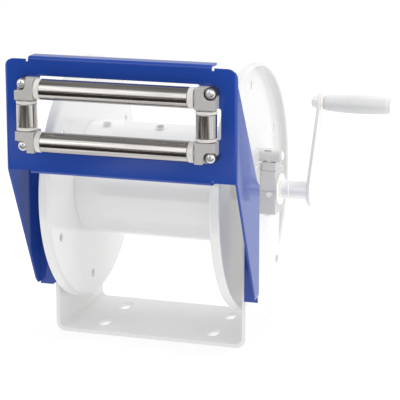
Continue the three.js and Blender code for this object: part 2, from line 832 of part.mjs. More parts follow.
function makeGuideBracket() {
  const tall = guideTop - legBottom + 2 * through;
  const wrap = alongZ(wrapOutline(), legBottom - through, tall);
  const sides = wrap.intersect(alongX(legOutline(), -guideWidth, 2 * guideWidth));
  const faced = sides.intersect(alongY(faceOutline(), -guideFront - through, guideFront));
  const flanges = [flange(guideTop, 1), flange(guideBottom, -1)];
  const bent = joined(faced, ...flanges, footing(1), footing(-1));
  const bolt = rod(tabBoltRadius + gap, -guideWidth, 2 * guideWidth, round.tiny, "x");
  const bolts = tabBoltHeights.map((z) => placed(bolt, 0, tabBoltY, z));
  const screw = rod(screwRadius + gap, -guideFront - through, sheet + 2 * through, round.tiny, "y");
  const screws = blockPlaces.map((place) => placed(screw, place.screw[0], 0, place.screw[1]));
  part("guide_bracket", cut(bent, ...windowSolids(), ...bolts, ...screws, ...reliefs()), bluePaint);
}

function makeTabBolt(name, side, z) {
  const seat = tabInner + sheet + gap;
  const start = frameHalf - plate - through;
  const shank = rod(tabBoltRadius, start, seat + weld - start, round.tiny, "x");
  const head = rod(tabHeadRadius, seat, tabHeadThick, round.hex, "x");
  const bolt = part(name, joined(solid(shank), solid(head)), zinc);
  bolt.position.set(0, tabBoltY, z);
  if (side < 0) bolt.rotation.z = Math.PI;
}

// ---- Guide rollers ------------------------------------------------------

const blockInnerX = shortSpacing / 2 - blockWidth / 2;
const blockInnerZ = rollerSpacing / 2 - blockHeight / 2;
const blockPlaces = ["top", "bottom"].flatMap((row) =>
  ["left", "right"].map((column) => {
    const v = row === "top" ? 1 : -1;
    const u = sideOf[column];
    const outX = blockInnerX + blockWidth - screwInset;
    const outZ = blockInnerZ + blockHeight - screwInset;
    return { name: `${row}_${column}`, u, v, screw: [u * outX, rollerMiddle + v * outZ] };
  }),
);

// Corner block: a tall L that holds two roller pins, round a low screw seat. It is
// drawn with its outer corner towards +X +Z and its back face on y = 0.
function cornerBlock(u, v) {
  const shape = new THREE.Shape();
  shape.moveTo(0, 0);
  shape.lineTo(blockWidth, 0);
  const corner = [blockWidth - blockCorner, blockHeight - blockCorner];
  shape.absarc(...corner, blockCorner, 0, Math.PI / 2, false);
  shape.lineTo(0, blockHeight);
  shape.closePath();
  const blank = alongY(shape, -blockDepth, blockDepth);
  const seatX = blockWidth - screwInset;
  const seatZ = blockHeight - screwInset;
  const seat = screwHeadRadius + screwSeatMargin;
  const front = -blockDepth - through;
  const depth = blockDepth - blockFlange + through;
  const edgeX = blockWidth + through;
  const edgeZ = blockHeight + through;
  const recess = [
    placed(rod(seat, front, depth, round.small, "y"), seatX, 0, seatZ),
    box(seatX - seat, edgeX, front, front + depth, seatZ, edgeZ),
    box(seatX, edgeX, front, front + depth, seatZ - seat, edgeZ),
  ];
  const hole = placed(rod(screwRadius + gap, front, 2 * blockDepth, round.tiny, "y"), seatX, 0, seatZ);
  const pinHole = [pinRadius + gap, -through, pinGrip + gap + through, round.tiny];
  const longPin = placed(rod(...pinHole, "x"), 0, -rollerForward, blockHeight / 2);
  const shortPin = placed(rod(...pinHole, "z"), blockWidth / 2, -rollerForward, 0);
  const block = cut(blank, ...recess, hole, longPin, shortPin);
  return block.scale([u, 1, v]).translate([u * blockInnerX, 0, v * blockInnerZ]);
}

// Pan-head screw with a cross recess, its head towards -Y.
function panScrew() {
  const seat = -blockFlange - gap;
  const top = seat - screwHeadThick;
  const dome = [
    [0, seat],
    [screwHeadRadius, seat],
    [screwHeadRadius, seat - 0.45 * screwHeadThick],
    [0.75 * screwHeadRadius, seat - 0.85 * screwHeadThick],
    [0.4 * screwHeadRadius, top],
    [0, top],
  ];
  const head = solid(turned(dome, round.small, "y"));
  const shank = solid(rod(screwRadius, seat - weld, screwLength, round.tiny, "y"));
  const reach = 0.55 * screwHeadRadius;
  const deep = [top - weld, top + crossDepth];
  const cross = [
    box(-reach, reach, ...deep, -crossHalf, crossHalf),
    box(-crossHalf, crossHalf, ...deep, -reach, reach),
  ];
  return cut(joined(head, shank), ...cross);
}

// One roller on its pin: a tube with a plugged cap in each end, along local +X.
function makeRoller(name, between, capLength, parent) {
  const half = between / 2 - gap;
  const tubeHalf = half - capLength;
  const bore = pinRadius + gap;
  const inner = rollerRadius - rollerWall;
  const tube = sleeve(inner, rollerRadius, -tubeHalf, tubeHalf, round.medium, "x");
  part(`${name}_tube`, tube, stainless, parent);
  for (const [end, side] of [["a", -1], ["b", 1]]) {
    const profile = [
      [bore, tubeHalf - capPlug],
      [inner - gap, tubeHalf - capPlug],
      [inner - gap, tubeHalf + gap],
      [rollerRadius, tubeHalf + gap],
      [rollerRadius, half - capChamfer],
      [rollerRadius - capChamfer, half],
      [bore, half],
    ].map(([r, x]) => [r, side * x]);
    part(`${name}_cap_${end}`, turned(profile, round.small, "x"), nylonWhite, parent);
  }
  const pinHalf = between / 2 + pinGrip;
  part(`${name}_pin`, rod(pinRadius, -pinHalf, 2 * pinHalf, round.tiny, "x"), zinc, parent);
}

function makeGuideRollers() {
  const blocks = groupAt(0, -guideFront - gap, rollerMiddle);
  for (const { name, u, v, screw } of blockPlaces) {
    part(`corner_block_${name}`, cornerBlock(u, v), nylonGrey, blocks);
    const mesh = part(`corner_screw_${name}`, panScrew(), zinc, blocks);
    mesh.position.set(screw[0], 0, screw[1] - rollerMiddle);
  }
  const front = -guideFront - gap - rollerForward;
  for (const [row, v] of [["top", 1], ["bottom", -1]]) {
    const at = groupAt(0, front, rollerMiddle + (v * rollerSpacing) / 2);
    makeRoller(`${row}_roller`, 2 * blockInnerX, longCap, at);
  }
  for (const [column, u] of Object.entries(sideOf)) {
    const at = groupAt((u * shortSpacing) / 2, front, rollerMiddle);
    at.rotation.y = -Math.PI / 2;
    makeRoller(`${column}_roller`, 2 * blockInnerZ, shortCap, at);
  }
}

// ---- Assembly -----------------------------------------------------------

const drum = groupAt(0, shaftBack, shaftHeight);
const bearings = groupAt(0, shaftBack, shaftHeight);
const brake = groupAt(0, shaftBack, shaftHeight);
const camPivot = groupAt(0, boltFront, camHeight, brake);
const handle = groupAt(0, 0, crankRadius, drum);

makeFrame();
makeDrumBarrel();
makeAxle();
makeCollars();
makeThrustWasher();
for (const [column, side] of Object.entries(sideOf)) {
  makeDisc(`disc_${column}`, side);
  makeBush(`shaft_bush_${column}`, side);
}
drumScrewX.forEach((_, index) => makeDrumScrew(index));

makeCrankHub();
makeCrankArm();
makeGripBolt();
makeGripFasteners();
makeGrip();

makeBrakeBlocks();
makeLockScrew();
makePad();
makeEyebolt();
makeRearBolt();
makeSmallNut("brake_eyebolt_nut", boltFront);
makeSmallNut("brake_rear_nut", boltRear);
makeCamLever();
makeCamPin();
anchorY.forEach((_, index) => makeAnchorScrew(index));

makeGuideBracket();
makeGuideRollers();
for (const [column, side] of Object.entries(sideOf))
  tabBoltHeights.forEach((z, index) => makeTabBolt(`bracket_bolt_${column}_${index + 1}`, side, z));

export default reel;
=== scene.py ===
"""Finished surfaces of a hand-crank reel with a four-roller guide, built round its fixed frame."""

import json
import math

import bmesh
import bpy
from bpy.props import FloatProperty, FloatVectorProperty, IntProperty, PointerProperty
from mathutils import Matrix, Vector


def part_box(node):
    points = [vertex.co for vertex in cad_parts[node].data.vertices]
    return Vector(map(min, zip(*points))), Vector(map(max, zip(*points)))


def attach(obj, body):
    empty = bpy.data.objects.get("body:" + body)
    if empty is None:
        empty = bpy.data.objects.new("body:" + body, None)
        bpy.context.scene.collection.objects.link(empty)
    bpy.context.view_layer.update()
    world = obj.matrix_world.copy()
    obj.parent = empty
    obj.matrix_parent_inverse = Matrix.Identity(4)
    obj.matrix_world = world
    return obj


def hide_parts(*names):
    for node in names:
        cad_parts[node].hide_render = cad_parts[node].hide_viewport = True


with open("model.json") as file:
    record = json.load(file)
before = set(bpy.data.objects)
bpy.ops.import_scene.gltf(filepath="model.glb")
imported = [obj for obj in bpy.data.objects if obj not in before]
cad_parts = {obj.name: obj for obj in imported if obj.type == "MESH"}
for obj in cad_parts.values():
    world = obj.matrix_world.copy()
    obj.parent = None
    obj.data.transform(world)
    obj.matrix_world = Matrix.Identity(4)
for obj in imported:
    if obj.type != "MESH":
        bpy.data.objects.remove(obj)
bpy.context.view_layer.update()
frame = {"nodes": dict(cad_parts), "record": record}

bl_info = {
    "name": "Hand-Crank Reel",
    "version": (1, 0, 0),
    "blender": (4, 5, 0),
    "location": "3D View > Sidebar > Reel",
    "description": "Finishes the reel's painted, plated and moulded parts round its frame",
    "category": "Object",
}

MM = 0.001
NODES = frame["nodes"]
BODY_OF = {
    node: body
    for body, members in frame["record"]["behaviour"]["bodies"].items()
    for node in members
}
AXES = {"x": Vector((1, 0, 0)), "y": Vector((0, 1, 0)), "z": Vector((0, 0, 1))}
FULL_TURN = 2 * math.pi

# Discs: sheet, its bend into the rim, the rolled bead and the ring of tie-off holes
DISC_SHEET = 2 * MM
DISC_BEND = 4.5 * MM
DISC_BEAD = 2.2 * MM
DISC_FLAT = 0.4 * MM  # held flat beside the bend, so that the web shades evenly
DISC_HOLES = 6
DISC_HOLE = 5.5 * MM
DISC_HOLE_CIRCLE = 126 * MM
DISC_HOLE_TURN = math.radians(25)

# Roller end caps
CAP_WALL = 1.8 * MM  # tube wall and clearance round the plug
CAP_PLUG = 6.3 * MM
CAP_BOSS_RISE = 0.9 * MM
CAP_BOSS_SHARE = 0.62  # of the cap's radius

# Corner screws
SCREW_HEAD_THICK = 4.0 * MM
SCREW_SHANK = 2.7 * MM
SCREW_SEAT = 0.3 * MM  # gap under the head
CROSS_LONG, CROSS_WIDE = 0.78, 0.2  # half length and half width, as shares of the head's radius
CROSS_DEPTH = 2 * MM
CROSS_TAPER = 0.55
# Painted shade: the corner blocks go nearly black round each screw head, standing for the shadow in
# its recess
SEAT_SHADE = (1.16, 1.32)  # where the dark ring begins and has gone, as shares of the head's radius

# Crank
HUB_BORE_GAP = 0.3 * MM
HUB_SCREW_HOLE = 3.0 * MM
GRIP_ENDS = (0.83, 0.87)  # radius at the grip's two ends, as shares of its middle
GRIP_SHOULDER = 1.6 * MM
GRIP_SHOULDER_RATE = 22  # a shoulder is gone after 1 / 22 of the length

# Studio, in metres: soft boxes as (name, place, point lit, side, watts)
SOFTBOXES = (
    ("key_softbox", (-1.5, -1.9, 1.9), (0.0, -0.05, 0.2), 1.5, 6.0),
    ("top_softbox", (0.6, 0.5, 2.4), (0.0, 0.0, 0.2), 2.2, 33.0),
    ("right_softbox", (2.2, -0.6, 1.3), (0.1, 0.0, 0.2), 1.4, 8.0),
    ("front_softbox", (0.8, -2.3, 0.8), (0.0, 0.0, 0.2), 0.9, 3.0),
)
FLOOR_DROP = 0.4 * MM
FLOOR_TONE = 0.35
FLOOR_GLOW = 0.68
FLAG_LOW, FLAG_HIGH = (-1.6, -4.2), (1.1, -0.42)  # black cloth on the floor, seen in mirrors
FLAG_RISE = 2 * MM
FLAG_DARK = (0.03, 0.025, 0.022, 1.0)
FLAG_PALE = (0.75, 0.70, 0.66, 1.0)


# ---- Sizes and colours ---------------------------------------------------


def length(name, value, description):
    return FloatProperty(
        name=name, description=description, default=value, min=0, unit="LENGTH", precision=5
    )


def colour(name, value, description):
    return FloatVectorProperty(
        name=name, description=description, default=value, size=3, min=0, max=1, subtype="COLOR"
    )


class ReelSizes(bpy.types.PropertyGroup):
    """Roundings and counts of the finished pieces"""

    sheet_edge: length("Sheet edge", 0.0005, "Rounding of painted sheet and plate edges")
    block_edge: length("Block edge", 0.0007, "Rounding of moulded and machined blocks")
    small_edge: length("Small edge", 0.0003, "Rounding of bolt heads and nuts")
    tube_lip: length("Tube lip", 0.0005, "Rounding at the ends of a roller tube")
    cap_edge: length("Cap edge", 0.0011, "Rounding of a roller's end cap")
    steps: IntProperty(
        name="Round steps", description="Sides of a large turned piece", default=120, min=24
    )
    small_steps: IntProperty(
        name="Small round steps", description="Sides of a small turned piece", default=64, min=16
    )


class ReelColours(bpy.types.PropertyGroup):
    """Colours of the finishes, as linear values"""

    blue_paint: colour("Blue paint", (0.016, 0.062, 0.345), "Guide bracket")
    pale_paint: colour("Pale paint", (0.62, 0.62, 0.616), "Frame, discs, drum and crank arm")
    zinc: colour("Zinc", (0.78, 0.79, 0.81), "Plated screws and nuts of the bracket")
    dull_zinc: colour("Dull zinc", (0.86, 0.86, 0.865), "Shaft, crank and brake metalwork")
    stainless: colour("Stainless", (0.60, 0.575, 0.55), "Roller tubes")
    nylon_grey: colour("Grey nylon", (0.47, 0.46, 0.445), "Corner blocks")
    nylon_white: colour("White nylon", (0.69, 0.67, 0.64), "Roller end caps")
    friction: colour("Brake grey", (0.68, 0.68, 0.67), "Brake blocks, pad and lever")
    grip: colour("Grip", (0.70, 0.70, 0.693), "Crank grip")
    bronze: colour("Bronze", (0.48, 0.34, 0.16), "Shaft bushes")
    # Painted light: the pale paint glows by this much in its own colour, lifting its shade though
    # it is no lamp
    lift: FloatProperty(name="Lift", description="Glow that opens the pale shadows", default=0.25)


class ReelStage(bpy.types.PropertyGroup):
    """Camera, floor and light"""

    azimuth: FloatProperty(
        name="Azimuth", description="Camera's angle round the reel", default=math.radians(18.07),
        subtype="ANGLE",
    )
    elevation: FloatProperty(
        name="Elevation", description="Camera's angle above level", default=math.radians(13.32),
        subtype="ANGLE",
    )
    distance: length("Distance", 2.2144, "Camera to the point it looks at")
    aim: FloatVectorProperty(
        name="Aim", description="Point the camera looks at", default=(0.04159, 0, 0.16372),
        subtype="XYZ", unit="LENGTH",
    )
    lens: FloatProperty(name="Lens", description="Focal length in mm", default=159.3, min=1)
    floor: length("Floor", 60.0, "Side of the floor")
    sky: FloatProperty(name="Surround", description="Brightness of the soft surround", default=0.92)


# ---- Shader building -----------------------------------------------------


class Value:
    """A number socket that works in expressions, each step being a Math node."""

    def __init__(self, surface, socket):
        self.surface = surface
        self.socket = socket

    def _step(self, operation, *terms):
        made = self.surface.node("ShaderNodeMath", {"operation": operation})
        for socket, term in zip(made.inputs, terms):
            self.surface.feed(socket, term)
        return Value(self.surface, made.outputs[0])

    def __add__(self, other):
        return self._step("ADD", self, other)

    def __radd__(self, other):
        return self._step("ADD", other, self)

    def __sub__(self, other):
        return self._step("SUBTRACT", self, other)

    def __rsub__(self, other):
        return self._step("SUBTRACT", other, self)

    def __mul__(self, other):
        return self._step("MULTIPLY", self, other)

    def __rmul__(self, other):
        return self._step("MULTIPLY", other, self)

    def above(self, low, high):
        """0 below low, 1 above high, smooth between."""
        made = self.surface.node(
            "ShaderNodeMapRange",
            {"interpolation_type": "SMOOTHSTEP"},
            {"Value": self, "From Min": low, "From Max": high},
        )
        return Value(self.surface, made.outputs["Result"])


class Surface:
    """A node tree under construction: a material's or the world's."""

    def __init__(self, tree):
        self.tree = tree
        tree.nodes.clear()

    def node(self, kind, settings=None, sockets=None):
        """Adds a node: its settings first, then the values or links of its sockets."""
        made = self.tree.nodes.new(kind)
        for key, value in (settings or {}).items():
            if key == "stops":
                self._set_stops(made.color_ramp, value)
            else:
                setattr(made, key, value)
        for key, value in (sockets or {}).items():
            self.feed(made.inputs[key], value)
        return made

    def _set_stops(self, ramp, stops):
        while len(ramp.elements) < len(stops):
            ramp.elements.new(1.0)
        for element, (position, shade) in zip(ramp.elements, stops):
            element.position = position
            element.color = (*shade, 1.0)

    def feed(self, socket, value):
        if isinstance(value, Value):
            value = value.socket
        if isinstance(value, bpy.types.NodeSocket):
            self.tree.links.new(value, socket)
        else:
            socket.default_value = value

    def mix(self, factor, first, second):
        """Colour mix of two colours or colour sockets."""
        made = self.node("ShaderNodeMix", {"data_type": "RGBA"})
        for index, value in ((0, factor), (6, first), (7, second)):
            self.feed(made.inputs[index], value)
        return made.outputs[2]


class Finish(Surface):
    """A material round one Principled shader, with patterns in object space."""

    def __init__(self, name, **constants):
        self.material = bpy.data.materials.new(name)
        self.material.use_nodes = True
        super().__init__(self.material.node_tree)
        self.shader = self.node("ShaderNodeBsdfPrincipled")
        out = self.node("ShaderNodeOutputMaterial")
        self.tree.links.new(self.shader.outputs[0], out.inputs["Surface"])
        for key, value in constants.items():
            self.shader.inputs[key.replace("_", " ")].default_value = value
        self.place = self.node("ShaderNodeTexCoord").outputs["Object"]

    def noise(self, scale, detail=3.0, rough=0.5, stretch=(1, 1, 1)):
        """Noise of about 1 / scale metres, stretched along the axes with small factors."""
        mapped = self.node("ShaderNodeMapping", None, {"Vector": self.place, "Scale": stretch})
        made = self.node(
            "ShaderNodeTexNoise",
            None,
            {"Vector": mapped.outputs[0], "Scale": scale, "Detail": detail, "Roughness": rough},
        )
        return Value(self, made.outputs["Fac"])

    def cells(self, scale, feature="F1"):
        made = self.node(
            "ShaderNodeTexVoronoi", {"feature": feature}, {"Vector": self.place, "Scale": scale}
        )
        return Value(self, made.outputs["Distance"])

    def ring(self, middle, radius, back):
        """1 round an axis along Y, out to a little past a radius and down in a seat: the mask of
        the painted shade in a screw's recess.
        """
        split = self.node("ShaderNodeSeparateXYZ", None, {"Vector": self.place})
        x, y, z = (Value(self, split.outputs[name]) for name in "XYZ")
        x, z = x - middle.x, z - middle.z
        near, far = ((radius * share) ** 2 for share in SEAT_SHADE)
        inside = (x * x + z * z).above(far, near)
        return inside * y.above(back - 4 * MM, back - 2 * MM)

    def height(self, value, depth, strength=1.0):
        """Bump of a height in metres."""
        made = self.node(
            "ShaderNodeBump", None, {"Height": value, "Distance": depth, "Strength": strength}
        )
        self.tree.links.new(made.outputs[0], self.shader.inputs["Normal"])

    def set(self, **values):
        for key, value in values.items():
            self.feed(self.shader.inputs[key.replace("_", " ")], value)
        return self


def shade(value, factor):
    """A colour made lighter or darker, as four numbers."""
    return (*(min(1.0, channel * factor) for channel in value), 1.0)


def powder_coat(name, tone, ior, roughness, lift):
    """Gloss powder coat: faint orange peel, slow tone change and a few dust nibs, with a glow in
    its own colour that is painted light lifting its shade.
    """
    # Painted light: the coat glows in its own colour, lifting its shade
    finish = Finish(name, IOR=ior, Emission_Strength=lift, Emission_Color=shade(tone, 1.0))
    cloud = finish.noise(9.0, 2.0)
    peel = finish.noise(240.0, 1.0, 0.4)
    nibs = finish.cells(60.0).above(0.035, 0.02)
    tint = finish.mix(cloud.above(0.3, 0.7), shade(tone, 0.975), shade(tone, 1.02))
    finish.set(Base_Color=finish.mix(nibs * 0.25, tint, shade(tone, 0.8)))
    finish.set(Roughness=roughness + 0.05 * cloud)
    finish.height(peel + 0.5 * nibs, 0.000012, 0.2)
    return finish.material


def zinc_plate(name, tone, metallic, roughness, lift=0.0):
    """Zinc plate: fine draw lines, cloudy passivation with a cool and a warm tint, with a glow in
    its own colour that is painted light lifting its shade.
    """
    # Painted light: a glow in the plate's own colour, lifting its shade
    glow = {"Emission_Strength": lift, "Emission_Color": shade(tone, 1.0)}
    finish = Finish(name, Metallic=metallic, **glow)
    cloud = finish.noise(70.0, 3.0)
    grain = finish.noise(900.0, 2.0, 0.6, (1, 1, 0.15))
    warm = tuple(channel * gain for channel, gain in zip(tone, (1.02, 0.99, 0.93)))
    finish.set(Base_Color=finish.mix(cloud.above(0.35, 0.7), shade(tone, 1.0), shade(warm, 1.0)))
    finish.set(Roughness=roughness + 0.10 * cloud + 0.05 * grain)
    finish.height(grain, 0.000006, 0.2)
    return finish.material


def polished_tube(name, tone, along, across):
    """Polished stainless tube: fine draw lines run along it, with faint stains and wear."""
    finish = Finish(name, Metallic=1.0)
    lines = finish.noise(1.0, 3.0, 0.65, across)
    broad = finish.noise(1.0, 2.0, 0.5, along)
    stain = finish.noise(28.0, 2.0)
    drawn = lines.above(0.3, 0.7) * 0.5 + broad.above(0.36, 0.64) * 0.5
    dark = finish.mix(drawn, shade(tone, 0.55), shade(tone, 1.16))
    finish.set(Base_Color=finish.mix(stain.above(0.35, 0.75) * 0.3, dark, shade(tone, 0.9)))
    finish.set(Roughness=0.10 + 0.06 * broad + 0.03 * stain)
    finish.height(lines + 0.5 * broad, 0.000012, 0.25)
    return finish.material


def moulded(name, tone, grain_scale, roughness, depth, scatter=0.0, seats=()):
    """Moulded plastic: fine spark-eroded grain and slightly uneven gloss.

    Painted shade darkens it round each seat, a screw's (middle, head radius, depth of the seat),
    standing for the shadow in the screw's recess.
    """
    finish = Finish(name, IOR=1.5, Subsurface_Weight=scatter, Subsurface_Scale=0.003)
    cloud = finish.noise(40.0, 2.0)
    grain = finish.noise(grain_scale, 3.0, 0.6)
    tint = finish.mix(cloud.above(0.3, 0.7), shade(tone, 0.96), shade(tone, 1.03))
    tint = finish.mix(grain.above(0.55, 0.8) * 0.12, tint, shade(tone, 0.8))
    for middle, radius, back in seats:
        # Painted shade: the screw's recess darkened to nearly black
        tint = finish.mix(finish.ring(middle, radius, back), tint, shade(tone, 0.06))
    finish.set(Base_Color=tint)
    finish.set(Roughness=roughness + 0.08 * cloud + 0.06 * grain)
    finish.height(grain, depth, 0.5)
    return finish.material


def sintered(name, tone):
    """Oil-filled sintered bronze: open pores and darker oily patches."""
    finish = Finish(name, Metallic=0.9)
    pores = finish.cells(1400.0).above(0.25, 0.05)
    oil = finish.noise(90.0, 3.0)
    tint = finish.mix(oil.above(0.4, 0.65), shade(tone, 1.0), shade(tone, 0.6))
    finish.set(Base_Color=finish.mix(pores * 0.5, tint, shade(tone, 0.3)))
    finish.set(Roughness=0.3 + 0.25 * oil)
    finish.height(1.0 - pores, 0.00002, 0.4)
    return finish.material


# Where the painted shade round the corner screws goes
def screw_seats():
    """Middle, head radius and seat depth of each corner screw."""
    seats = []
    for node in sorted(NODES):
        if node.startswith("corner_screw"):
            middle, radius, front, _ = extent(node, "y")
            seats.append((middle, radius, front + SCREW_HEAD_THICK + SCREW_SEAT))
    return seats


def make_finishes(colours):
    """Every finish of the reel by name."""
    return {
        # Painted light: the pale paint glows in its own colour
        "pale_paint": powder_coat("pale_powder_coat", colours.pale_paint, 1.75, 0.10, colours.lift),
        "blue_paint": powder_coat("blue_powder_coat", colours.blue_paint, 1.5, 0.06, 0.0),
        "zinc": zinc_plate("bright_zinc_plate", colours.zinc, 1.0, 0.12),
        "screw_zinc": zinc_plate("screw_zinc_plate", colours.zinc, 0.9, 0.24),
        # Painted light: the dull zinc glows by 0.14 in its own colour, lifting its shade
        "dull_zinc": zinc_plate("dull_zinc_plate", colours.dull_zinc, 0.3, 0.26, 0.14),
        "nylon_grey": moulded(
            "grey_nylon", colours.nylon_grey, 700.0, 0.36, 0.00003, 0.06, screw_seats()
        ),
        "nylon_white": moulded("white_nylon", colours.nylon_white, 900.0, 0.30, 0.00002, 0.1),
        "friction_grey": moulded("brake_casting", colours.friction, 500.0, 0.42, 0.00006),
        "grip_plastic": moulded("grip_plastic", colours.grip, 1100.0, 0.24, 0.00003, 0.03),
        "bronze": sintered("sintered_bronze", colours.bronze),
        "stainless_x": polished_tube(
            "polished_x", colours.stainless, (5, 380, 380), (14, 900, 900)
        ),
        "stainless_z": polished_tube(
            "polished_z", colours.stainless, (380, 380, 5), (900, 900, 14)
        ),
    }


finishes = {}


def finish_named(name):
    if not finishes:
        finishes.update(make_finishes(bpy.context.scene.reel_colours))
    return finishes[name]


# ---- Mesh building -------------------------------------------------------


def sharp_edges(form, degrees):
    limit = math.radians(degrees)
    return [e for e in form.edges if len(e.link_faces) == 2 and e.calc_face_angle(0) > limit]


def round_edges(form, width, segments=2, degrees=32):
    bmesh.ops.bevel(
        form,
        geom=sharp_edges(form, degrees),
        offset=width,
        offset_type="OFFSET",
        affect="EDGES",
        segments=segments,
        profile=0.5,
        material=-1,
        clamp_overlap=False,
    )


def finished_piece(form, name, node, finish, smooth=38):
    """Turns a form into an object that stands for a CAD node and moves with its body."""
    mesh = bpy.data.meshes.new(name)
    form.to_mesh(mesh)
    form.free()
    mesh.shade_smooth()
    mesh.set_sharp_from_angle(angle=math.radians(smooth))
    piece = bpy.data.objects.new(name, mesh)
    bpy.context.scene.collection.objects.link(piece)
    even = piece.modifiers.new("even_normals", "WEIGHTED_NORMAL")
    even.keep_sharp = True
    mesh.materials.append(finish)
    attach(piece, BODY_OF[node])
    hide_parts(node)
    return piece


def merged_copy(node):
    """A form of a CAD node's shape, its loose triangles merged into faces."""
    form = bmesh.new()
    form.from_mesh(NODES[node].data)
    bmesh.ops.remove_doubles(form, verts=form.verts, dist=0.01 * MM)
    bmesh.ops.dissolve_limit(
        form,
        angle_limit=math.radians(0.6),
        use_dissolve_boundaries=False,
        verts=form.verts,
        edges=form.edges,
    )
    bmesh.ops.recalc_face_normals(form, faces=form.faces)
    return form


def keep_inside(form, node):
    """Pulls back what a rounding pushed past the CAD node's own box."""
    low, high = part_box(node)
    for vert in form.verts:
        vert.co = [min(max(place, a), b) for place, a, b in zip(vert.co, low, high)]


def eased_copy(node, finish, width, segments=2):
    """A CAD node's shape with its sharp edges rounded."""
    form = merged_copy(node)
    round_edges(form, width, segments)
    keep_inside(form, node)
    return finished_piece(form, node + "_finished", node, finish)


def turned_form(profile, axis, centre, steps):
    """Spins a closed profile of (radius, place along the axis) round an axis."""
    along = AXES[axis]
    out = AXES["z" if axis != "z" else "x"]
    form = bmesh.new()
    middle = Vector(centre)
    ring = [form.verts.new(middle + along * a + out * r) for r, a in profile]
    edges = [form.edges.new((a, b)) for a, b in zip(ring, ring[1:] + ring[:1])]
    bmesh.ops.spin(
        form,
        geom=ring + edges,
        cent=middle,
        axis=along,
        angle=FULL_TURN,
        steps=steps,
        use_merge=True,
        use_duplicate=False,
    )
    bmesh.ops.remove_doubles(form, verts=form.verts, dist=0.002 * MM)
    bmesh.ops.dissolve_degenerate(form, dist=0.002 * MM, edges=form.edges)
    loose = [e for e in form.edges if not e.link_faces]
    bmesh.ops.delete(form, geom=loose, context="EDGES")
    bmesh.ops.recalc_face_normals(form, faces=form.faces)
    return form


def extent(node, axis):
    """Middle, half width across and the two ends of a CAD node along an axis."""
    low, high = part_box(node)
    k = "xyz".index(axis)
    across = "xyz".index("y" if axis == "x" else "x")
    middle = (low + high) / 2
    middle[k] = 0.0
    return middle, (high[across] - low[across]) / 2, low[k], high[k]


def inner_radius(node, axis):
    """Smallest distance of a CAD node's vertices from its own axis."""
    middle, _, _, _ = extent(node, axis)
    k = "xyz".index(axis)
    return min(
        math.hypot(*(v.co[i] - middle[i] for i in range(3) if i != k))
        for v in NODES[node].data.vertices
    )


def turned_sleeve(node, finish, axis, edge, steps):
    """A plain sleeve in place of a CAD node, with rounded ends."""
    middle, radius, low, high = extent(node, axis)
    bore = inner_radius(node, axis)
    profile = [(bore, low), (radius, low), (radius, high), (bore, high)]
    form = turned_form(profile, axis, middle, steps)
    round_edges(form, edge, 3)
    return finished_piece(form, node + "_finished", node, finish)


def recoat(nodes, finish):
    """Puts a finish on CAD nodes that keep their own shape."""
    for node in nodes:
        mesh = NODES[node].data
        mesh.materials.clear()
        mesh.materials.append(finish)


def drill(spot, radius, depth, axis, steps=32):
    """A round cutter centred on a spot."""
    form = bmesh.new()
    turn = AXES["z"].rotation_difference(AXES[axis]).to_matrix().to_4x4()
    bmesh.ops.create_cone(
        form,
        cap_ends=True,
        segments=steps,
        radius1=radius,
        radius2=radius,
        depth=depth,
        matrix=Matrix.Translation(spot) @ turn,
    )
    return form


def carved(piece, cutters):
    """Cuts the cutter forms out of a piece, one after another."""
    for form in cutters:
        mesh = bpy.data.meshes.new("cutter")
        form.to_mesh(mesh)
        form.free()
        cutter = bpy.data.objects.new("cutter", mesh)
        bpy.context.scene.collection.objects.link(cutter)
        hole = piece.modifiers.new("hole", "BOOLEAN")
        hole.operation = "DIFFERENCE"
        hole.solver = "EXACT"
        hole.object = cutter
        piece.modifiers.move(len(piece.modifiers) - 1, 0)
        bpy.context.view_layer.update()
        shaped = piece.evaluated_get(bpy.context.evaluated_depsgraph_get())
        kept = bpy.data.meshes.new_from_object(shaped)
        piece.modifiers.remove(hole)
        whole = piece.data
        piece.data = kept
        bpy.data.meshes.remove(whole)
        bpy.data.objects.remove(cutter)


# ---- Stage ---------------------------------------------------------------


